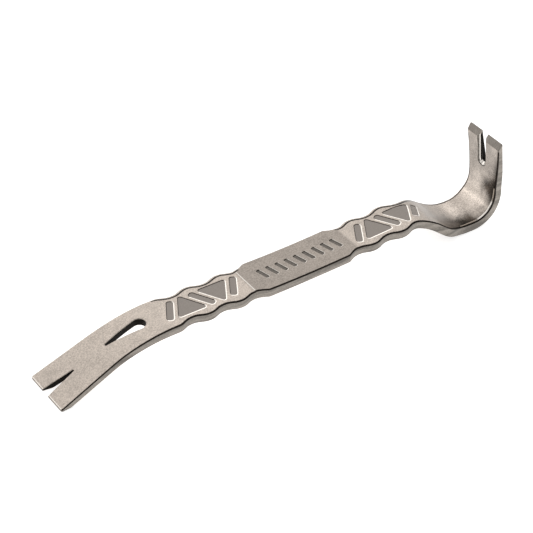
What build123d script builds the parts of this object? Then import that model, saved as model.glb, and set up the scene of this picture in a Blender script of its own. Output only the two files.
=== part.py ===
from build123d import *
import math
import os

# Forged flat pry bar, in mm. X runs along the bar from the blade tip to the claw, Y across it and Z up.
# The origin is on the surface that the bar rests on, midway along it and midway across it.
# Outlines are lists of corners (along, across, radius), each rounded by its radius.

# Side view (x, z, radius). The bar rests on the ground flat under the blade tip and on the heel.
TIP_X = -189.7
TIP_THICKNESS = 2.0
HEEL_X = 189.7
CLAW_TOP_Z = 70.2
PANEL_LEFT_X = -29.7
PANEL_RIGHT_X = 59.1
PANEL_STEP = 0.3             # height of the plain panel over the pocketed zones
STEP_RUN = 0.6
UPPER_LINE = [
    (TIP_X, TIP_THICKNESS, 0.5),
    (-122.9, 28.9, 135.0),       # blade bends down from the handle
    (PANEL_LEFT_X, 26.8, 0.0),
    (PANEL_LEFT_X + STEP_RUN, 26.8 + PANEL_STEP, 0.0),
    (14.7, 25.0, 880.0),         # panel is slightly dished along its length
    (PANEL_RIGHT_X - STEP_RUN, 27.0 + PANEL_STEP, 0.0),
    (PANEL_RIGHT_X, 27.0, 0.0),
    (119.7, 28.8, 42.0),         # handle bends down into the neck
    (148.2, 7.35, 43.0),         # neck levels out
    (183.2, 7.35, 18.4),         # claw turns up
    (183.2, 47.0, 255.0),        # claw leans back over the handle
    (180.8, 65.4, 0.0),          # ground bevel starts
    (183.8, CLAW_TOP_Z, 0.3),
]
LOWER_LINE = [
    (184.5, CLAW_TOP_Z, 0.3),
    (HEEL_X, 38.0, 130.0),
    (HEEL_X, 0.0, 25.4),         # round heel
    (146.3, 0.0, 50.0),
    (117.2, 21.9, 35.0),
    (4.5, 18.8, 1700.0),         # underside of the handle is slightly arched
    (-124.5, 22.5, 128.0),
    (-182.0, 0.0, 0.0),          # ground flat starts
    (TIP_X, 0.0, 0.6),
]

# Plan view (x, half width, radius)
WAVE_PITCH = 25.9
WAVE_MEAN = 15.7             # half width halfway up a wave
WAVE_CORNER = 2.9            # height of a wave's unrounded corner over the mean
WAVE_RADIUS = 14.3
PANEL_HALF_WIDTH = 17.6
PANEL_SHOULDER = 9.7         # from a panel end to where the bar reaches its full width
PANEL_RADIUS = 4.0
CLAW_START_X = 159.5
HEEL_HALF_WIDTH = 17.3
BLADE_SIDES = [(TIP_X - 1, 21.1, 2.0), (-138.5, 17.8, 300.0), (-91.5, 17.3, 10.0)]
NECK_SIDES = [(136.7, 21.2, 20.0), (150.5, 17.9, 40.0), (CLAW_START_X, HEEL_HALF_WIDTH, 0.0)]

# End view of the claw (z, half width, radius)
CLAW_SIDES = [
    (-5.0, HEEL_HALF_WIDTH, 0.0),
    (10.0, HEEL_HALF_WIDTH, 25.0),
    (29.0, 15.7, 60.0),
    (CLAW_TOP_Z, 18.5, 1.2),
]

# Nail pullers (along, half width, radius), all a little to the +Y side of the middle
PULLER_OFFSET = 1.2
BLADE_NOTCH = [(-167.1, 0.65, 0.6), (TIP_X - 5, 4.65, 0.0)]
NAIL_HOLE = [(-142.1, 0.85, 0.8), (-110.3, 6.2, 5.1)]
CLAW_NOTCH = [(44.0, 1.3, 1.2), (CLAW_TOP_Z + 5, 3.7, 0.0)]
GROOVE = [(0.0, 4.8, 4.7), (35.0, 4.8, 0.0)]
GROOVE_FOOT = (183.05, PULLER_OFFSET, 41.3)
GROOVE_LEAN = 5.0            # degrees, along the leaning face of the claw
GROOVE_DEPTH = 2.4
GROOVE_SLOPE = 45            # degrees, of its walls

# Recessed pockets: slot, triangle, slot, triangle, slot in each group
POCKET_DEPTH = 0.7
ENAMEL = 0.3
LEAN = 60.0                  # degrees between a slot and the length of the bar
SLOT_SIZE = (20.0, 4.6)
SLOT_RADIUS = 1.8
END_SLOT_SIZE = (15.8, 4.2)  # last slot, beside the neck, is smaller and squarer
END_SLOT_RADIUS = 0.8
END_SLOT_OFFSET = 0.95
TRIANGLE_HALF_HEIGHT = 9.4
TRIANGLE_HALF_WIDTH = 6.35   # halfway up
TRIANGLE_RADIUS = 1.5
GROUPS = {"blade_side": -90.85, "claw_side": 69.15}   # x of each group's first slot

# Row of plain slanted bars pressed into the panel
BAR_COUNT = 9
BAR_PITCH = 7.9
BAR_CENTRE_X = 17.5
BAR_SIZE = (3.0, 11.0)
BAR_RADIUS = 1.0
BAR_DEPTH = 0.5
BAR_LEAN = 105.0             # degrees

REACH = 100.0                # half length of the cutting prisms
CLEARANCE = 1.0              # how far cutting bodies stand out of the surface
BEHIND_CLAW_X = HEEL_X + 10.0
CLAW_CUT = 40.0              # reach of the notch's cutting body from there, past the claw's inner face


def rounded_face(corners):
    """Face inside a closed outline of corners, each rounded by its radius."""
    points = [Vector(a, b) for a, b, _ in corners]
    bends = []
    for index, here in enumerate(points):
        radius = corners[index][2]
        arriving = (here - points[index - 1]).normalized()
        leaving = (points[(index + 1) % len(points)] - here).normalized()
        half_turn = math.radians(arriving.get_angle(leaving)) / 2
        reach = radius * math.tan(half_turn)
        inwards = (leaving - arriving).normalized()
        middle = here + inwards * (radius / math.cos(half_turn) - radius)
        bends.append((here - arriving * reach, middle, here + leaving * reach))
    edges = []
    for index, (start, middle, end) in enumerate(bends):
        if corners[index][2] > 0:
            edges.append(Edge.make_three_point_arc(start, middle, end))
        edges.append(Edge.make_line(end, bends[(index + 1) % len(bends)][0]))
    return Face(Wire(edges))


def mirrored_face(half_corners):
    """Face of an outline that is the same on both sides of its long axis, from one side's corners."""
    other_side = [(a, -b, radius) for a, b, radius in half_corners]
    return rounded_face(other_side + half_corners[::-1])


def end_view(x):
    """Plane across the bar whose first direction is up and whose second is +Y."""
    return Plane(origin=(x, 0, 0), x_dir=(0, 0, 1), z_dir=(-1, 0, 0))


def wave_corners(first_trough_x):
    """Three troughs and the two crests between them, along one scalloped edge."""
    corners = []
    for step in range(5):
        side = 1 if step % 2 else -1
        x = first_trough_x + step * WAVE_PITCH / 2
        corners.append((x, WAVE_MEAN + side * WAVE_CORNER, WAVE_RADIUS))
    return corners


def blank():
    """The bar without its pockets and notches: its side view, cut to its plan and its end view."""
    half_plan = BLADE_SIDES + wave_corners(PANEL_LEFT_X - 2 * WAVE_PITCH)
    half_plan += [(PANEL_LEFT_X + PANEL_SHOULDER, PANEL_HALF_WIDTH, PANEL_RADIUS)]
    half_plan += [(PANEL_RIGHT_X - PANEL_SHOULDER, PANEL_HALF_WIDTH, PANEL_RADIUS)]
    half_plan += wave_corners(PANEL_RIGHT_X) + NECK_SIDES
    past_sides = HEEL_HALF_WIDTH + 5 * CLEARANCE
    half_plan += [(CLAW_START_X, past_sides, 0.0), (BEHIND_CLAW_X, past_sides, 0.0)]
    plan = extrude(mirrored_face(half_plan), amount=REACH, both=True)
    claw = extrude(end_view(BEHIND_CLAW_X) * mirrored_face(CLAW_SIDES), amount=BEHIND_CLAW_X - CLAW_START_X)
    handle = Pos(CLAW_START_X - 2 * REACH, 0, 0) * Box(4 * REACH, REACH, 2 * REACH)
    return side_view & plan & (claw + handle)


def layer(face, start, end):
    """The bar's surface layer between two depths, on its top or its underside."""
    down = -1 if face == "top" else 1
    return Pos(0, 0, down * start) * side_view - Pos(0, 0, down * end) * side_view


def prism(outline):
    return extrude(outline, amount=REACH, both=True)


def slot(x, lean, size, radius, offset):
    return Pos(x, offset, 0) * Rot(0, 0, lean) * RectangleRounded(*size, radius)


def triangle(x, up):
    """Triangle with its base towards -Y when up is 1, or towards +Y when up is -1."""
    slope = math.tan(math.radians(LEAN))
    base = TRIANGLE_HALF_WIDTH + TRIANGLE_HALF_HEIGHT / slope
    apex = TRIANGLE_HALF_WIDTH * slope
    corners = [(-base, -up * TRIANGLE_HALF_HEIGHT), (base, -up * TRIANGLE_HALF_HEIGHT), (0, up * apex)]
    return Pos(x, 0, 0) * rounded_face([(a, b, TRIANGLE_RADIUS) for a, b in corners])


def pocket_outlines():
    """Every pocket's outline, seen from above, by name."""
    outlines = {}
    for group, x in GROUPS.items():
        for number in range(3):
            lean = LEAN if number != 1 else -LEAN
            shape = (SLOT_SIZE, SLOT_RADIUS, 0.0)
            if group == "claw_side" and number == 2:
                shape = (END_SLOT_SIZE, END_SLOT_RADIUS, END_SLOT_OFFSET)
            outlines[f"{group}_slot_{number + 1}"] = slot(x + number * WAVE_PITCH, lean, *shape)
        for number in range(2):
            middle = x + (number + 0.5) * WAVE_PITCH
            outlines[f"{group}_triangle_{number + 1}"] = triangle(middle, 1 - 2 * number)
    return outlines


def nail_pullers():
    """Cutting bodies for the two notches, the nail hole and the groove around the claw's notch."""
    tilt = math.radians(GROOVE_LEAN)
    face_up = Vector(-math.sin(tilt), 0, math.cos(tilt))
    face_in = Vector(math.cos(tilt), 0, math.sin(tilt))
    groove_plane = Plane(origin=GROOVE_FOOT, x_dir=face_up, z_dir=face_in)
    groove = extrude(groove_plane * mirrored_face(GROOVE), amount=GROOVE_DEPTH, taper=GROOVE_SLOPE)
    groove += extrude(groove_plane * mirrored_face(GROOVE), amount=-3 * CLEARANCE)
    claw_slot = extrude(end_view(BEHIND_CLAW_X) * mirrored_face(CLAW_NOTCH), amount=CLAW_CUT)
    others = [prism(mirrored_face(BLADE_NOTCH)), prism(mirrored_face(NAIL_HOLE)), claw_slot]
    return [groove] + [Pos(0, PULLER_OFFSET, 0) * other for other in others]


def panel_bars():
    first_x = BAR_CENTRE_X - (BAR_COUNT - 1) * BAR_PITCH / 2
    width, length = BAR_SIZE
    bars = []
    for number in range(BAR_COUNT):
        outline = RectangleRounded(length, width, BAR_RADIUS)
        bars.append(prism(Pos(first_x + number * BAR_PITCH, 0, 0) * Rot(0, 0, BAR_LEAN) * outline))
    return bars


side_view = extrude(Plane.XZ * rounded_face(UPPER_LINE + LOWER_LINE), amount=REACH / 2, both=True)
bar = blank()
for cutter in nail_pullers():
    bar -= cutter
bar -= [cutter & layer("top", -CLEARANCE, BAR_DEPTH) for cutter in panel_bars()]

os.makedirs("parts", exist_ok=True)
pockets = {name: prism(outline) for name, outline in pocket_outlines().items()}
for face in ("top", "underside"):
    recess = layer(face, -CLEARANCE, POCKET_DEPTH)
    floor = layer(face, POCKET_DEPTH - ENAMEL, POCKET_DEPTH)
    for name, pocket in pockets.items():
        bar -= pocket & recess
        export_step(pocket & floor, f"parts/{face}_{name}_enamel.step")
export_step(bar, "parts/forged_bar.step")
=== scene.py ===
import math
from bisect import bisect_right

import bmesh
import bpy
from mathutils import Matrix, Vector


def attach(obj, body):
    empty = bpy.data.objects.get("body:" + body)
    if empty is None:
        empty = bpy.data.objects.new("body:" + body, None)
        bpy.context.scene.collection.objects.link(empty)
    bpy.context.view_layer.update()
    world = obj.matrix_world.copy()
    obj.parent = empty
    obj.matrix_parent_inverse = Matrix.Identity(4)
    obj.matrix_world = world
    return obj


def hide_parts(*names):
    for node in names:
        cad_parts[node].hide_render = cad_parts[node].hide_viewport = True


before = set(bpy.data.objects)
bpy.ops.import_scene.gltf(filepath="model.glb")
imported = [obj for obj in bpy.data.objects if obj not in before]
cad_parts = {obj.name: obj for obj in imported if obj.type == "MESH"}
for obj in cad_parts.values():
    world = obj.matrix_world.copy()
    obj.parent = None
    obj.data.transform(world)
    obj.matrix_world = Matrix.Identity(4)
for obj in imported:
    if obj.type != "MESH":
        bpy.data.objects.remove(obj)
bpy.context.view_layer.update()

# The forged bar is rebuilt here with the rounded edges that its exact solid doesn't have. Lengths are in mm,
# as in the CAD, down to the stage. "Along" is distance along the bar from the blade tip to the claw tip: it
# equals x up to the bend, then grows with the distance round the bend, and then with the height up the claw.
MM = 0.001

# Side view (x, z, radius)
TIP_X = -189.7
HEEL_X = 189.7
CLAW_TOP_Z = 70.2
FLAT_END_X = -182.0
BEVEL_Z = 65.4
PANEL_LEFT_X = -29.7
PANEL_RIGHT_X = 59.1
PANEL_STEP = 0.3             # height of the plain panel over the pocketed zones
STEP_RUN = 0.6
UPPER_LINE = [
    (TIP_X, 2.0, 0.0),
    (-122.9, 28.9, 135.0),       # blade bends down from the handle
    (PANEL_LEFT_X, 26.8, 0.0),
    (PANEL_LEFT_X + STEP_RUN, 26.8 + PANEL_STEP, 0.0),
    (14.7, 25.0, 880.0),         # panel is slightly dished along its length
    (PANEL_RIGHT_X - STEP_RUN, 27.0 + PANEL_STEP, 0.0),
    (PANEL_RIGHT_X, 27.0, 0.0),
    (119.7, 28.8, 42.0),         # handle bends down into the neck
    (148.2, 7.35, 43.0),         # neck levels out
    (183.2, 7.35, 18.4),         # claw turns up
    (183.2, 47.0, 255.0),        # claw leans back over the handle
    (180.8, BEVEL_Z, 0.0),       # ground bevel starts
    (183.8, CLAW_TOP_Z, 0.0),
]
LOWER_LINE = [
    (TIP_X, 0.0, 0.0),
    (FLAT_END_X, 0.0, 0.0),      # ground flat under the tip ends
    (-124.5, 22.5, 128.0),
    (4.5, 18.8, 1700.0),         # underside of the handle is slightly arched
    (117.2, 21.9, 35.0),
    (146.3, 0.0, 50.0),
    (HEEL_X, 0.0, 25.4),         # round heel
    (HEEL_X, 38.0, 130.0),
    (184.5, CLAW_TOP_Z, 0.0),
]

# Plan view (x, half width, radius)
WAVE_PITCH = 25.9
WAVE_MEAN = 15.7             # half width halfway up a wave
WAVE_CORNER = 2.9            # height of a wave's unrounded corner over the mean
WAVE_RADIUS = 14.3
PANEL_HALF_WIDTH = 17.6
PANEL_SHOULDER = 9.7         # from a panel end to where the bar reaches its full width
PANEL_RADIUS = 4.0
CLAW_START_X = 159.5
HEEL_HALF_WIDTH = 17.3
BLADE_SIDES = [(TIP_X, 0.0, 0.0), (TIP_X, 20.95, 1.5), (-138.5, 17.8, 300.0), (-91.5, 17.3, 10.0)]
NECK_SIDES = [(136.7, 21.2, 20.0), (150.5, 17.9, 40.0), (CLAW_START_X, HEEL_HALF_WIDTH, 0.0)]

# End view of the claw (z, half width, radius)
CLAW_SIDES = [
    (4.0, HEEL_HALF_WIDTH, 0.0),
    (10.0, HEEL_HALF_WIDTH, 25.0),
    (29.0, 15.7, 60.0),
    (CLAW_TOP_Z, 18.5, 1.4),
]

# The bend's middle line, which "along" follows
BEND_CENTRE = (164.5, 25.5)  # x, z
BEND_RADIUS = 22.0
BEND_START = BEND_CENTRE[0]
BEND_END = BEND_START + BEND_RADIUS * math.pi / 2
CLAW_END = BEND_END + CLAW_TOP_Z - BEND_CENTRE[1]
BEVEL_START = BEND_END + BEVEL_Z - BEND_CENTRE[1]

# Nail pullers (along, half width, radius), all a little to the +Y side of the middle
PULLER_OFFSET = 1.2
PAST_TIP = 5.0               # how far the notches' outlines run past the tips
BLADE_NOTCH = [(-167.1, 0.65, 0.6), (TIP_X - PAST_TIP, 4.65, 0.0)]
NAIL_HOLE = [(-142.1, 0.85, 0.8), (-110.3, 6.2, 5.1)]
CLAW_NOTCH = [(BEND_END + 44.0 - BEND_CENTRE[1], 1.3, 1.2), (CLAW_END + PAST_TIP, 3.7, 0.0)]
GROOVE = [(0.0, 4.8, 4.7), (35.0, 4.8, 0.0)]
GROOVE_FOOT = (183.05, PULLER_OFFSET, 41.3)
GROOVE_LEAN = 5.0            # degrees, along the leaning face of the claw
GROOVE_DEPTH = 2.4
GROOVE_BANDS = (0.4, 1.1, 1.6)   # depths where its painted shade and highlight change
GROOVE_FOOT_ROUND = 1.5      # length of the groove's round end that is painted with a highlight below its rim

# Recessed pockets: slot, triangle, slot, triangle, slot in each group
POCKET_DEPTH = 0.7
LEAN = 60.0                  # degrees between a slot and the length of the bar
SLOT_SIZE = (20.0, 4.6)
SLOT_RADIUS = 1.8
END_SLOT_SIZE = (15.8, 4.2)  # last slot, beside the neck, is smaller and squarer
END_SLOT_RADIUS = 0.8
END_SLOT_OFFSET = 0.95
TRIANGLE_HALF_HEIGHT = 9.4
TRIANGLE_HALF_WIDTH = 6.35   # halfway up
TRIANGLE_RADIUS = 1.5
GROUP_STARTS = (-90.85, 69.15)

# Row of plain slanted bars pressed into the panel
BAR_COUNT = 9
BAR_PITCH = 7.9
BAR_CENTRE_X = 17.5
BAR_SIZE = (11.0, 3.0)
BAR_RADIUS = 1.0
BAR_DEPTH = 0.5
BAR_LEAN = 105.0             # degrees

# Rounded edges: how far each reaches sideways and down. The upper long edges change along the bar, so theirs
# are (along, reach) tables for the side towards +Y and the side towards -Y.
RIM_DEPTH = 0.9
LEFT_RIM = [(-189.7, 0.9), (-104.0, 0.9), (-90.0, 3.3), (-32.0, 3.3), (-22.0, 1.0), (50.0, 1.0),
            (61.0, 3.3), (130.0, 3.3), (150.0, 2.6), (190.0, 1.9), (240.0, 1.2)]
RIGHT_RIM = [(-189.7, 0.9), (-130.0, 1.1), (-90.0, 1.6), (-32.0, 1.6), (-22.0, 1.3), (50.0, 1.3),
             (61.0, 1.6), (150.0, 1.6), (160.0, 2.4), (196.0, 2.4), (206.0, 1.5), (240.0, 1.0)]
POCKET_RIM = (1.5, 0.38)
BAR_RIM = (0.5, 0.25)
NOTCH_RIM = (0.5, 0.5)
THIN = 0.42                  # a rounding never takes more than this share of the local thickness

# Fineness of the mesh
ARC_STEP = math.radians(7.5)
CHORD = 1.6
SNAP = 0.05                  # a slice that passes this close to a corner goes through it
SLACK = 0.01                 # room for rounding errors where places are compared
SHARP = math.radians(38)     # creases sharper than this aren't shaded smooth


# Materials
# The panel's darkening below is painted shade
PANEL_SHADE_TONES = (0.63, 0.68)   # brightness of the panel at its two ends, beside the rest
# Painted reflections inside the hook: dark patches of painted reflection and a brighter band of painted
# highlight (centre, reach, tone)
PAINTED_REFLECTIONS = [
    ((186, -17, 26), (26, 18.5, 16), 0.05),
    ((187, -19, 42), (20, 8, 24), 0.30),
    ((155, -20, 7), (28, 19.5, 16), 0.06),
    ((135, 0, 15), (24, 60, 22), 0.66),
    ((184, 0, 50), (20, 60, 28), 0.58),
    ((177, 0, 12.5), (7, 60, 7), 1.32),
]
REFLECTION_FADE = (0.5, 1.6)       # shares of the reach at which a painted patch is full and gone
REFLECTION_UNEVENNESS = 0.7        # how far the noise moves a painted patch's outline, as a share of its reach
POLISH = (142, 160, 0.5)     # x where the polish inside the hook starts and is full, share of roughness left
SURFACE_DEPTH = 0.1          # depth of the steel's and the enamel's grain


def new_material(name):
    """Node material with only its shader and output: (material, tree, shader)."""
    material = bpy.data.materials.new(name)
    material.use_nodes = True
    tree = material.node_tree
    tree.nodes.clear()
    output = tree.nodes.new("ShaderNodeOutputMaterial")
    shader = tree.nodes.new("ShaderNodeBsdfPrincipled")
    tree.links.new(shader.outputs["BSDF"], output.inputs["Surface"])
    return material, tree, shader


def node(tree, kind, inputs=None, **settings):
    """New node with its settings, and its inputs set or linked."""
    made = tree.nodes.new(kind)
    for key, value in settings.items():
        setattr(made, key, value)
    for key, value in (inputs or {}).items():
        if isinstance(value, bpy.types.NodeSocket):
            tree.links.new(value, made.inputs[key])
        else:
            made.inputs[key].default_value = value
    return made


def in_metres(lengths):
    return [length * MM for length in lengths]


def ranged(tree, value, start, end, low, high, **settings):
    """Low up to the start, high from the end, and rising or falling between them."""
    inputs = {"Value": value, "From Min": start, "From Max": end, "To Min": low, "To Max": high}
    return node(tree, "ShaderNodeMapRange", inputs, **settings).outputs["Result"]


def tinted(tree, factor, low, high, dark, light):
    """Colour that goes from dark to light as the factor goes from low to high."""
    ramp = node(tree, "ShaderNodeValToRGB", {"Fac": factor})
    ends = ramp.color_ramp.elements
    ends[0].position, ends[1].position = low, high
    ends[0].color, ends[1].color = (*dark, 1), (*light, 1)
    return ramp.outputs["Color"]


def grained(tree, shader, height, strength):
    """Give a shader a bump from a height between 0 and 1."""
    bump = node(tree, "ShaderNodeBump", {"Height": height, "Strength": strength,
                                         "Distance": SURFACE_DEPTH * MM})
    tree.links.new(bump.outputs["Normal"], shader.inputs["Normal"])


def painted_panel_shade(tree, x):
    """Brightness by x, painted shade: the plain panel is painted darker, most of all at its end near the
    blade.
    """
    ramp = node(tree, "ShaderNodeValToRGB", {"Fac": ranged(tree, x, TIP_X * MM, HEEL_X * MM, 0.0, 1.0)})
    stops = ramp.color_ramp.elements
    left, right = [(end - TIP_X) / (HEEL_X - TIP_X) for end in (PANEL_LEFT_X, PANEL_RIGHT_X)]
    fade = 0.001
    stops[0].position, stops[0].color = left - fade, (1, 1, 1, 1)
    stops[1].position, stops[1].color = right + fade, (1, 1, 1, 1)
    for position, tone in zip((left + fade, right - fade), PANEL_SHADE_TONES):
        stops.new(position).color = (tone, tone, tone, 1)
    return ramp.outputs["Color"]


def with_painted_reflections(tree, where, noise, colour):
    """The colour, changed by the painted reflections and highlight inside the hook. The noise roughens their
    outlines.
    """
    for centre, reach, tone in PAINTED_REFLECTIONS:
        near = node(tree, "ShaderNodeMapping", {"Vector": where, "Location": in_metres(centre),
                                                "Scale": in_metres(reach)}, vector_type="TEXTURE")
        distance = node(tree, "ShaderNodeVectorMath", {0: near.outputs["Vector"]}, operation="LENGTH")
        uneven = node(tree, "ShaderNodeMath", {0: noise, 1: REFLECTION_UNEVENNESS, 2: distance.outputs["Value"]},
                      operation="MULTIPLY_ADD")
        change = ranged(tree, uneven.outputs[0], *REFLECTION_FADE, tone, 1.0, interpolation_type="SMOOTHSTEP")
        colour = node(tree, "ShaderNodeVectorMath", {0: colour, "Scale": change},
                      operation="SCALE").outputs["Vector"]
    return colour


def steel(name, dark, light, roughness, bump_strength, painted_light_and_polish=False, streaks=False):
    """Blasted steel: fine grain and slow patches in its tone, gloss and surface. Steel with painted light and
    polish has the panel's painted shade, painted reflections and a painted highlight inside the hook, and
    polish inside the hook. Streaks draw the patches out along the bar."""
    material, tree, shader = new_material(name)
    where = node(tree, "ShaderNodeTexCoord").outputs["Object"]
    grain = node(tree, "ShaderNodeTexNoise", {"Vector": where, "Scale": 1000.0, "Detail": 3.0,
                                              "Roughness": 0.7}).outputs["Fac"]
    stretch = (0.25, 0.25, 2.2) if streaks else (1, 1, 1)
    drawn = node(tree, "ShaderNodeMapping", {"Vector": where, "Scale": stretch})
    patches = node(tree, "ShaderNodeTexNoise", {"Vector": drawn.outputs["Vector"], "Scale": 130.0,
                                                "Detail": 4.0, "Roughness": 0.55}).outputs["Fac"]
    patch_share = 0.7 if streaks else 0.25
    part = node(tree, "ShaderNodeMath", {0: patches, 1: patch_share}, operation="MULTIPLY")
    mixed = node(tree, "ShaderNodeMath", {0: grain, 1: 1 - patch_share, 2: part.outputs[0]},
                 operation="MULTIPLY_ADD")
    colour = tinted(tree, mixed.outputs[0], 0.40, 0.60, dark, light)
    gloss = ranged(tree, patches, 0.35, 0.65, *roughness)
    if painted_light_and_polish:
        x = node(tree, "ShaderNodeSeparateXYZ", {0: where}).outputs["X"]
        colour = node(tree, "ShaderNodeVectorMath", {0: colour, 1: painted_panel_shade(tree, x)},
                      operation="MULTIPLY").outputs["Vector"]
        colour = with_painted_reflections(tree, where, patches, colour)
        start, end, polished = POLISH
        inside = ranged(tree, x, start * MM, end * MM, 1.0, polished, interpolation_type="SMOOTHSTEP")
        gloss = node(tree, "ShaderNodeMath", {0: gloss, 1: inside}, operation="MULTIPLY").outputs[0]
    tree.links.new(colour, shader.inputs["Base Color"])
    tree.links.new(gloss, shader.inputs["Roughness"])
    shader.inputs["Metallic"].default_value = 1.0
    grained(tree, shader, grain, bump_strength)
    return material


def ground_steel():
    """Freshly ground bevel: fine scratches across the edge."""
    material, tree, shader = new_material("ground_steel")
    where = node(tree, "ShaderNodeTexCoord").outputs["Object"]
    stretched = node(tree, "ShaderNodeMapping", {"Vector": where, "Scale": (300.0, 3500.0, 300.0)})
    scratches = node(tree, "ShaderNodeTexNoise", {"Vector": stretched.outputs["Vector"], "Scale": 1.0,
                                                  "Detail": 3.0}).outputs["Fac"]
    colour = tinted(tree, scratches, 0.3, 0.7, (0.15, 0.135, 0.12), (0.29, 0.263, 0.236))
    tree.links.new(colour, shader.inputs["Base Color"])
    tree.links.new(ranged(tree, scratches, 0.0, 1.0, 0.25, 0.45), shader.inputs["Roughness"])
    shader.inputs["Metallic"].default_value = 1.0
    grained(tree, shader, scratches, 0.4)
    return material


def enamel():
    """Even grey coat with a very fine grain."""
    material, tree, shader = new_material("grey_enamel")
    where = node(tree, "ShaderNodeTexCoord").outputs["Object"]
    grain = node(tree, "ShaderNodeTexNoise", {"Vector": where, "Scale": 1800.0, "Detail": 3.0}).outputs["Fac"]
    colour = tinted(tree, grain, 0.3, 0.7, (0.265, 0.232, 0.206), (0.33, 0.289, 0.256))
    tree.links.new(colour, shader.inputs["Base Color"])
    shader.inputs["Roughness"].default_value = 0.55
    grained(tree, shader, grain, 0.2)
    return material


# Material slots of the bar, in this order
TOP, SIDE, NOTCH, DARK_SHADE, HIGHLIGHT, GROUND, SHADE = range(7)
MATERIALS = [
    steel("blasted_steel", (0.36, 0.318, 0.281), (0.59, 0.522, 0.461), (0.34, 0.44), 0.5, painted_light_and_polish=True),
    # forged side steel with streaks, made darker than the top's steel as painted shade on the sides
    steel("shaded_forged_side_steel", (0.14, 0.128, 0.114), (0.30, 0.273, 0.243), (0.30, 0.40), 0.5, streaks=True),
    # near-black steel on the nail pullers' walls
    steel("near_black_notch_steel", (0.006, 0.005, 0.004), (0.016, 0.014, 0.012), (0.5, 0.6), 0.4),
    # near-black painted shade on shaded edges, on the shaded side of pocket mouths, on pocket walls and in
    # the groove
    steel("painted_dark_shade_steel", (0.018, 0.015, 0.013), (0.035, 0.03, 0.026), (0.25, 0.33), 0.1),
    # bright, glossy painted highlight on lit edges, on the lit side of pocket mouths and in the groove
    steel("painted_highlight_steel", (0.66, 0.62, 0.575), (0.78, 0.74, 0.69), (0.12, 0.18), 0.1),
    ground_steel(),
    # dark painted shade in the panel's pressed bars and on the blade tip's edge
    steel("painted_shade_steel", (0.10, 0.09, 0.08), (0.17, 0.153, 0.136), (0.4, 0.5), 0.3),
]


# Outlines in the plan view
def rounded(corners, closed=False):
    """Points along an outline of (along, across, radius) corners, each rounded by its radius."""
    points = []
    last = len(corners) - 1
    for index, (a, b, radius) in enumerate(corners):
        here = Vector((a, b))
        if radius == 0 or (not closed and index in (0, last)):
            points.append(here)
            continue
        arriving = (here - Vector(corners[index - 1][:2])).normalized()
        leaving = (Vector(corners[(index + 1) % len(corners)][:2]) - here).normalized()
        turn = math.atan2(arriving.cross(leaving), arriving.dot(leaving))
        start = here - arriving * radius * math.tan(abs(turn) / 2)
        side = math.copysign(1, turn)
        centre = start + Vector((-arriving.y, arriving.x)) * radius * side
        steps = max(2, math.ceil(abs(turn) / ARC_STEP), math.ceil(abs(turn) * radius / CHORD))
        for step in range(steps + 1):
            points.append(centre + Matrix.Rotation(turn * step / steps, 2) @ (start - centre))
    return points


def inward_normals(loop):
    """Vectors that point into a closed loop, by point. They are 1 long, and longer at corners, so that an
    offset keeps its distance."""
    clockwise = sum(a.cross(b) for a, b in zip(loop, loop[1:] + loop[:1])) < 0
    sharpest = 0.5
    normals = []
    for index, here in enumerate(loop):
        before = (here - loop[index - 1]).normalized()
        after = (loop[(index + 1) % len(loop)] - here).normalized()
        mean = (before + after).normalized()
        stretch = (-1 if clockwise else 1) / max(sharpest, mean.dot(after))
        normals.append(Vector((-mean.y, mean.x)) * stretch)
    return normals


def finely(loop):
    """The closed loop with none of its runs longer than a chord."""
    filled = []
    for index, start in enumerate(loop):
        run = loop[(index + 1) % len(loop)] - start
        parts = max(1, math.ceil(run.length / CHORD))
        filled += [start + run * part / parts for part in range(parts)]
    return filled


def mirrored(half_corners, offset=0.0):
    """Closed outline that is the same on both sides of a line along the bar."""
    other_side = [(a, -b, radius) for a, b, radius in half_corners]
    outline = rounded(other_side + half_corners[::-1], closed=True)
    return [Vector((0, offset)) + point for point in outline]


def slanted_slot(x, lean, size, radius, offset=0.0):
    """Outline of a slot, its length leaning by an angle from the length of the bar."""
    a, b = size[0] / 2, size[1] / 2
    corners = [(-a, -b, radius), (a, -b, radius), (a, b, radius), (-a, b, radius)]
    turn = Matrix.Rotation(math.radians(lean), 2)
    return [Vector((x, offset)) + turn @ point for point in rounded(corners, closed=True)]


def triangle(x, up):
    """Outline of a triangle that points to +Y (up is 1) or to -Y (-1)."""
    slope = math.tan(math.radians(LEAN))
    base = TRIANGLE_HALF_WIDTH + TRIANGLE_HALF_HEIGHT / slope
    apex = TRIANGLE_HALF_WIDTH * slope
    corners = [(-base, -up * TRIANGLE_HALF_HEIGHT), (base, -up * TRIANGLE_HALF_HEIGHT), (0, up * apex)]
    outline = rounded([(a, b, TRIANGLE_RADIUS) for a, b in corners], closed=True)
    return [Vector((x, 0)) + point for point in outline]


# The side view, as surfaces that points are placed on
def interpolate(x, table):
    """Value at x in a table of (x, value) pairs in rising order, held at its ends."""
    if x <= table[0][0]:
        return table[0][1]
    if x >= table[-1][0]:
        return table[-1][1]
    after = bisect_right(table, x, key=lambda pair: pair[0])
    (x0, y0), (x1, y1) = table[after - 1], table[after]
    return y0 + (y1 - y0) * (x - x0) / (x1 - x0)


def side_tables(line):
    """One side line as three tables: z by x along the handle, radius by angle round the bend, and x by z up
    the claw. Each reaches a little past its own stretch, so that none ends short of it."""
    centre_x, centre_z = BEND_CENTRE
    handle_past, bend_before, claw_before = 5.0, 12.0, 8.0
    handle, bend, claw = [], [], []
    turned = False
    for x, z in rounded(line):
        turned = turned or x > centre_x
        if not turned or z < centre_z and x < centre_x + handle_past:
            handle.append((x, z))
        if turned or x > centre_x - bend_before:
            bend.append((math.atan2(z - centre_z, x - centre_x), math.hypot(x - centre_x, z - centre_z)))
        if turned and z > centre_z - claw_before:
            claw.append((z, x))
    return handle, sorted(bend), sorted(claw)


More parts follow.
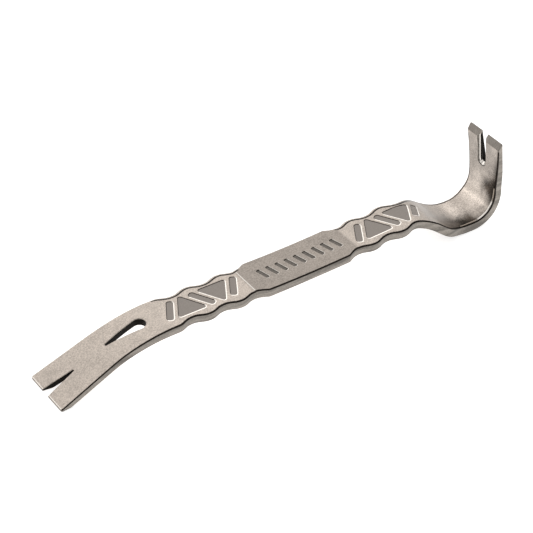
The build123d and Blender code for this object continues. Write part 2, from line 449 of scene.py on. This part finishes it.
UPPER = side_tables(UPPER_LINE)
LOWER = side_tables(LOWER_LINE)
FACES = ("top", "underside")


def surface(along, tables):
    """Point (x, z) of the upper or the lower surface at a distance along the bar."""
    handle, bend, claw = tables
    if along <= BEND_START:
        return Vector((along, interpolate(along, handle)))
    if along < BEND_END:
        angle = (along - BEND_START) / BEND_RADIUS - math.pi / 2
        radius = interpolate(angle, bend)
        return Vector((BEND_CENTRE[0] + radius * math.cos(angle), BEND_CENTRE[1] + radius * math.sin(angle)))
    z = BEND_CENTRE[1] + along - BEND_END
    return Vector((interpolate(z, claw), z))


def place(along, across, depth, face):
    """Point at a depth under the top or the underside."""
    top, bottom = surface(along, UPPER), surface(along, LOWER)
    start, inwards = (top, bottom - top) if face == "top" else (bottom, top - bottom)
    point = start + inwards.normalized() * depth
    return Vector((point.x, across, point.y)) * MM


def fitted(along, rim):
    """A rounding's (sideways, down) reach, which shrinks where the bar is thin."""
    thickness = (surface(along, UPPER) - surface(along, LOWER)).length
    share = min(1.0, THIN * thickness / rim[1])
    return rim[0] * share, rim[1] * share


# Meshes
# A quarter-round edge by its angle from the wall, as (share of the rounding sideways, share of it down)
QUARTER_ANGLES = range(0, 91, 15)
QUARTER = [(1 - math.cos(math.radians(angle)), 1 - math.sin(math.radians(angle))) for angle in QUARTER_ANGLES]


def make_mesh(name, rings, zones, cap_zones, strips=False):
    """Closed mesh from rings of points, with the material slots of each band between two rings, by point. Its
    ends are closed by one face each, or by strips between mirrored points, which have a slot each."""
    mesh = bpy.data.meshes.new(name)
    count = len(rings[0])
    faces = []
    slots = []
    for level in range(len(rings) - 1):
        base = level * count
        for index in range(count):
            after = (index + 1) % count
            faces.append((base + index, base + after, base + count + after, base + count + index))
            slots.append(zones[level][index])
    for base in (0, (len(rings) - 1) * count):
        if strips:
            for index in range(count // 2 - 1):
                other = count - 1 - index
                faces.append((base + index, base + index + 1, base + other - 1, base + other))
                slots.append(cap_zones[index])
        else:
            faces.append(tuple(range(base, base + count)))
            slots.append(cap_zones)
    mesh.from_pydata([point for loop in rings for point in loop], [], faces)
    mesh.polygons.foreach_set("material_index", slots)
    for material in MATERIALS:
        mesh.materials.append(material)
    work = bmesh.new()
    work.from_mesh(mesh)
    bmesh.ops.recalc_face_normals(work, faces=work.faces)
    work.to_mesh(mesh)
    work.free()
    obj = bpy.data.objects.new(name, mesh)
    bpy.context.scene.collection.objects.link(obj)
    return obj


# The bar's body
def half_outline():
    """The bar's edge on its +Y side, (along, half width), from the blade tip to the claw tip."""
    corners = list(BLADE_SIDES)
    for first_x, panel_follows in ((PANEL_LEFT_X - 2 * WAVE_PITCH, True), (PANEL_RIGHT_X, False)):
        for step in range(5):
            side = 1 if step % 2 else -1
            corners.append((first_x + step * WAVE_PITCH / 2, WAVE_MEAN + side * WAVE_CORNER, WAVE_RADIUS))
        if panel_follows:
            corners.append((PANEL_LEFT_X + PANEL_SHOULDER, PANEL_HALF_WIDTH, PANEL_RADIUS))
            corners.append((PANEL_RIGHT_X - PANEL_SHOULDER, PANEL_HALF_WIDTH, PANEL_RADIUS))
    points = rounded(corners + NECK_SIDES)[1:]
    for height, width in rounded(CLAW_SIDES + [(CLAW_TOP_Z, 0.0, 0.0)])[:-1]:
        rise = height - BEND_CENTRE[1]
        if rise < 0:
            along = BEND_START + BEND_RADIUS * (math.asin(rise / BEND_RADIUS) + math.pi / 2)
        else:
            along = BEND_END + rise
        points.append(Vector((along, width)))
    return points


def with_stations(points):
    """The outline with extra points where the side view bends, and none of its runs longer than a chord."""
    marks = [PANEL_LEFT_X, PANEL_LEFT_X + STEP_RUN, PANEL_RIGHT_X - STEP_RUN, PANEL_RIGHT_X, FLAT_END_X,
             BEVEL_START]
    filled = [points[0]]
    for start, end in zip(points, points[1:]):
        run = end - start
        parts = math.ceil(run.length / CHORD)
        stops = [part / parts for part in range(1, parts)]
        stops += [(mark - start.x) / run.x for mark in marks if start.x < mark < end.x]
        filled += [start + run * stop for stop in sorted(stops)] + [end]
    return filled


# Tones of the upper rounding, painted shade and painted highlights on its edges. Angles are degrees from the
# wall, places are (start, end) along the bar.
SIDE_TONE_END = 30
BRIGHT_START = 60
DARK_END = 75
DARK_FAR_EDGES = ((-98.0, -27.0), (57.0, 236.0))
BRIGHT_NEAR_EDGE = (152.0, 204.0)
TIP_EDGE = 0.4               # length of the blade tip's own edge


def edge_zone(here, angle):
    """Material slot of the upper rounding, with its painted shade and highlights."""
    if here.x > BEVEL_START:
        return GROUND
    if here.x < TIP_X + TIP_EDGE:
        return HIGHLIGHT if angle >= BRIGHT_START else TOP if angle >= SIDE_TONE_END else SHADE
    if here.y < 0:
        if BRIGHT_NEAR_EDGE[0] < here.x < BRIGHT_NEAR_EDGE[1] and angle >= BRIGHT_START:
            return HIGHLIGHT
        return DARK_SHADE if angle < DARK_END else TOP
    if angle >= BRIGHT_START and any(start < here.x < end for start, end in DARK_FAR_EDGES):
        return DARK_SHADE
    return TOP if angle >= SIDE_TONE_END else SIDE


def upper_rim(here):
    return interpolate(here.x, LEFT_RIM if here.y > 0 else RIGHT_RIM), RIM_DEPTH


def lower_rim(here):
    return RIM_DEPTH, RIM_DEPTH


def bar_body():
    """The bar without its pockets and notches, with rounded edges."""
    half = with_stations(half_outline())
    loop = half + [Vector((point.x, -point.y)) for point in reversed(half)]
    normals = inward_normals(loop)

    def ring(face, rim_at, shares):
        points = []
        for here, normal in zip(loop, normals):
            sideways, down = fitted(here.x, rim_at(here))
            moved = here + normal * sideways * shares[0]
            points.append(place(moved.x, moved.y, down * shares[1], face))
        return points

    rings = [ring("top", upper_rim, shares) for shares in reversed(QUARTER)]
    rings += [ring("underside", lower_rim, shares) for shares in QUARTER]
    zones = [[edge_zone(here, angle) for here in loop] for angle in reversed(QUARTER_ANGLES[:-1])]
    zones += [[SIDE] * len(loop)] * len(QUARTER)
    cap = []
    for here in half:
        # the panel's step at its left end is painted as a highlight line
        crease = PANEL_LEFT_X - SLACK < here.x < PANEL_LEFT_X + STEP_RUN - SLACK
        cap.append(GROUND if here.x > BEVEL_START else HIGHLIGHT if crease else TOP)
    return make_mesh("bar_body", rings, zones, cap, strips=True)


# Cutting bodies
CLEAR = 3.0                  # how far they stand out of the surface
# Their rounded mouth in shares of its rim, from just outside the surface down to the wall
MOUTH = [(1.02, -0.06)] + QUARTER[-2::-1]
FLOOR_CORNER = 0.1           # bevel between a pocket's wall and its floor

# Painted shade and highlight on a pocket's mouth: dark on the shaded side and bright on the other. Bands
# count from the surface down. The bright line is narrower on the side towards the claw.
SHADED_SIDE = Vector((-0.41, 0.91))
DARK_BAND = 4
BRIGHT_BAND = 1
CLAWWARD_BRIGHT_BAND = 3
CLAWWARD = 0.3               # least x of the outward normals on that side


def lip_zone(outward, band):
    """Material slot of a pocket's mouth, with painted shade on one side and a painted highlight on the other.
    """
    if outward.dot(SHADED_SIDE) > 0:
        return DARK_SHADE if band >= DARK_BAND else TOP
    bright_band = CLAWWARD_BRIGHT_BAND if outward.x > CLAWWARD else BRIGHT_BAND
    return HIGHLIGHT if band >= bright_band else TOP


def mouth(loop, normals, rim):
    """Rings of (along, across, depth) points, from well outside the bar down to the wall."""
    rings = []
    for outset, depth in [(MOUTH[0][0], None)] + MOUTH:
        points = []
        for here, normal in zip(loop, normals):
            sideways, down = fitted(here.x, rim)
            moved = here - normal * (outset * sideways)
            points.append((moved.x, moved.y, -CLEAR if depth is None else depth * down))
        rings.append(points)
    return rings


def follow(obj, face):
    """Bend a body of (along, across, depth) points onto a face of the bar. Slices let its floor follow it."""
    work = bmesh.new()
    work.from_mesh(obj.data)
    deepest = max(vert.co.z for vert in work.verts)
    end = max(vert.co.x for vert in work.verts)
    along = min(vert.co.x for vert in work.verts) + CHORD / 2
    while along < end:
        level = [part for parts in (work.verts, work.edges, work.faces) for part in parts
                 if all(vert.co.z > deepest - SLACK for vert in getattr(part, "verts", [part]))]
        bmesh.ops.bisect_plane(work, geom=level, dist=SNAP, plane_co=(along, 0, 0), plane_no=(1, 0, 0))
        along += 2 * CHORD
    for vert in work.verts:
        vert.co = place(*vert.co, face)
    work.normal_update()
    bmesh.ops.recalc_face_normals(work, faces=work.faces)
    work.to_mesh(obj.data)
    work.free()
    return obj


def pocket_cutter(loop, rim, depth, face, wall):
    """Cutting body with a rounded mouth and a floor."""
    loop = finely(loop)
    normals = inward_normals(loop)
    rings = mouth(loop, normals, rim)
    zones = [[lip_zone(-normal, band) for normal in normals] for band in range(len(rings) - 1)]
    for inset, down in ((0.0, depth - FLOOR_CORNER), (FLOOR_CORNER, depth)):
        rings.append([(*(here + normal * inset), down) for here, normal in zip(loop, normals)])
    zones += [[wall] * len(loop)] * 2
    return follow(make_mesh("pocket_cutter", rings, zones, wall), face)


def through_cutter(corners):
    """Cutting body of a nail puller, which goes through the bar and has a rounded mouth on each face."""
    loop = finely(mirrored(corners, PULLER_OFFSET))
    rings = mouth(loop, inward_normals(loop), NOTCH_RIM)
    top, underside = [[[place(*point, face) for point in points] for points in rings] for face in FACES]
    lips = [[TOP] * len(loop)] * (len(rings) - 1)
    zones = lips + [[NOTCH] * len(loop)] + lips
    return make_mesh("through_cutter", top + underside[::-1], zones, NOTCH)


def groove_cutter():
    """Cutting body of the bevelled groove around the claw's notch, on its inner face."""
    lean = math.radians(GROOVE_LEAN)
    up = Vector((-math.sin(lean), 0, math.cos(lean)))
    inwards = Vector((math.cos(lean), 0, math.sin(lean)))
    loop = mirrored(GROOVE)
    normals = inward_normals(loop)
    rings = []
    for depth in (-CLEAR, 0.0, *GROOVE_BANDS, GROOVE_DEPTH):
        points = []
        for here, normal in zip(loop, normals):
            moved = here + normal * max(0.0, depth)
            point = Vector(GROOVE_FOOT) + up * moved.x + Vector((0, 1, 0)) * moved.y + inwards * depth
            points.append(point * MM)
        rings.append(points)
    # Its bands are painted: dark shade at the mouth and in the deepest band, the sides' steel, a highlight
    # between, and a highlight on its round end
    zones = [[HIGHLIGHT if here.x < GROOVE_FOOT_ROUND and level > 1 else zone for here in loop]
             for level, zone in enumerate((DARK_SHADE, DARK_SHADE, SIDE, HIGHLIGHT, DARK_SHADE))]
    return make_mesh("groove_cutter", rings, zones, DARK_SHADE)


def join(objects):
    """One object that holds the meshes of several."""
    work = bmesh.new()
    for obj in objects:
        work.from_mesh(obj.data)
    mesh = bpy.data.meshes.new("joined")
    work.to_mesh(mesh)
    work.free()
    for obj in objects:
        bpy.data.objects.remove(obj)
    joined = bpy.data.objects.new("joined", mesh)
    bpy.context.scene.collection.objects.link(joined)
    return joined


def cut(target, tool):
    """Subtract the tool from the target, and delete the tool."""
    modifier = target.modifiers.new("cut", "BOOLEAN")
    modifier.operation = "DIFFERENCE"
    modifier.solver = "EXACT"
    modifier.object = tool
    depsgraph = bpy.context.evaluated_depsgraph_get()
    mesh = bpy.data.meshes.new_from_object(target.evaluated_get(depsgraph))
    target.modifiers.clear()
    target.data = mesh
    bpy.data.objects.remove(tool)


# The bar
def panel_bar_loops():
    """Outlines of the bars pressed into the panel."""
    first_x = BAR_CENTRE_X - (BAR_COUNT - 1) * BAR_PITCH / 2
    return [slanted_slot(first_x + number * BAR_PITCH, BAR_LEAN, BAR_SIZE, BAR_RADIUS)
            for number in range(BAR_COUNT)]


def slot_loops():
    """Outlines of the slots: three in each group, the middle one leaning the other way."""
    loops = []
    for group_x in GROUP_STARTS:
        for number, lean in enumerate((LEAN, -LEAN, LEAN)):
            x = group_x + number * WAVE_PITCH
            if group_x == GROUP_STARTS[-1] and number == 2:
                loops.append(slanted_slot(x, lean, END_SLOT_SIZE, END_SLOT_RADIUS, END_SLOT_OFFSET))
            else:
                loops.append(slanted_slot(x, lean, SLOT_SIZE, SLOT_RADIUS))
    return loops


def triangle_loops():
    """Outlines of the triangles: two in each group, between the slots."""
    return [triangle(group_x + (number + 0.5) * WAVE_PITCH, up)
            for group_x in GROUP_STARTS for number, up in enumerate((1, -1))]


def pry_bar():
    """The whole steel bar."""
    bar = bar_body()
    # the pressed bars' floors and walls are painted shade
    tools = [pocket_cutter(loop, BAR_RIM, BAR_DEPTH, "top", SHADE) for loop in panel_bar_loops()]
    tools += [through_cutter(corners) for corners in (BLADE_NOTCH, NAIL_HOLE)]
    cut(bar, join(tools))
    cut(bar, groove_cutter())
    cut(bar, through_cutter(CLAW_NOTCH))
    # the pockets' walls are the near-black painted shade
    for face in FACES:
        for loops in (slot_loops(), triangle_loops()):
            cut(bar, join([pocket_cutter(loop, POCKET_RIM, POCKET_DEPTH, face, DARK_SHADE) for loop in loops]))
    bar.name = bar.data.name = "pry_bar_steel"
    bar.data.shade_smooth()
    bar.data.set_sharp_from_angle(angle=SHARP)
    weighted = bar.modifiers.new("weighted", "WEIGHTED_NORMAL")
    weighted.keep_sharp = True
    weighted.weight = 80
    return bar


bar = pry_bar()
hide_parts("forged_bar")
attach(bar, "root")
grey_enamel = enamel()
for name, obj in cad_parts.items():
    if name.endswith("_enamel"):
        for slot in obj.material_slots:
            slot.material = grey_enamel

# Stage, in metres: a plain pale floor that glows a little, so that it stays even and bright
FLOOR_HALF = 40.0
FLOOR_GLOW = 0.68
floor_mesh = bpy.data.meshes.new("floor")
floor_corners = [(-1, -1), (1, -1), (1, 1), (-1, 1)]
floor_mesh.from_pydata([(x * FLOOR_HALF, y * FLOOR_HALF, 0) for x, y in floor_corners], [], [(0, 1, 2, 3)])
floor = bpy.data.objects.new("floor", floor_mesh)
bpy.context.scene.collection.objects.link(floor)
paper, _, paper_shader = new_material("pale_paper")
paper_shader.inputs["Base Color"].default_value = (0.93, 0.93, 0.93, 1)
paper_shader.inputs["Roughness"].default_value = 0.9
paper_shader.inputs["Specular IOR Level"].default_value = 0.1
paper_shader.inputs["Emission Color"].default_value = (1.0, 1.0, 1.0, 1)
paper_shader.inputs["Emission Strength"].default_value = FLOOR_GLOW
floor_mesh.materials.append(paper)

# Light: an even studio with soft round patches (direction, degrees from its middle where it starts to fade
# and where it ends, strength)
EVEN_LIGHT = 0.28
LIGHT_COLOUR = (1.0, 0.99, 0.98, 1)
LIGHT_PATCHES = [
    ((0.0, 0.62, 0.78), 34, 54, 0.84),
    ((0.2, 0.92, 0.36), 10, 24, 0.8),
    ((-0.85, -0.35, 0.4), 15, 45, 0.6),
    ((0.3, -0.9, 0.3), 15, 50, 0.5),
    ((-0.75, 0.62, 0.15), 14, 30, 0.85),
    ((0.72, 0.65, 0.22), 12, 28, 0.75),
]
world = bpy.data.worlds.new("studio")
world.use_nodes = True
sky_tree = world.node_tree
sky = sky_tree.nodes["Background"]
sky.inputs["Color"].default_value = LIGHT_COLOUR
direction = node(sky_tree, "ShaderNodeTexCoord").outputs["Generated"]
light = EVEN_LIGHT
for towards, fade_start, fade_end, strength in LIGHT_PATCHES:
    facing = node(sky_tree, "ShaderNodeVectorMath", {0: direction, 1: Vector(towards).normalized()},
                  operation="DOT_PRODUCT")
    patch = ranged(sky_tree, facing.outputs["Value"], math.cos(math.radians(fade_end)),
                   math.cos(math.radians(fade_start)), 0.0, strength, interpolation_type="SMOOTHSTEP")
    light = node(sky_tree, "ShaderNodeMath", {0: patch, 1: light}, operation="ADD").outputs[0]
sky_tree.links.new(light, sky.inputs["Strength"])
bpy.context.scene.world = world

# Camera, in metres and degrees: it looks at a point on the bar from the -Y side, and from above
CAMERA_TARGET = Vector((-0.00271, 0.01226, 0.02))
CAMERA_AZIMUTH = -124.1934
CAMERA_ELEVATION = 37.9456
CAMERA_DISTANCE = 1.3836
camera_data = bpy.data.cameras.new("camera")
camera_data.lens = 131.4
camera_data.clip_end = 200.0
camera = bpy.data.objects.new("camera", camera_data)
turn = (Matrix.Rotation(math.radians(CAMERA_AZIMUTH + 90), 4, "Z")
        @ Matrix.Rotation(math.radians(90 - CAMERA_ELEVATION), 4, "X"))
camera.matrix_world = Matrix.Translation(CAMERA_TARGET) @ turn @ Matrix.Translation((0, 0, CAMERA_DISTANCE))
bpy.context.scene.collection.objects.link(camera)
bpy.context.scene.camera = camera
bpy.context.scene.view_settings.view_transform = "Standard"

bpy.context.view_layer.update()
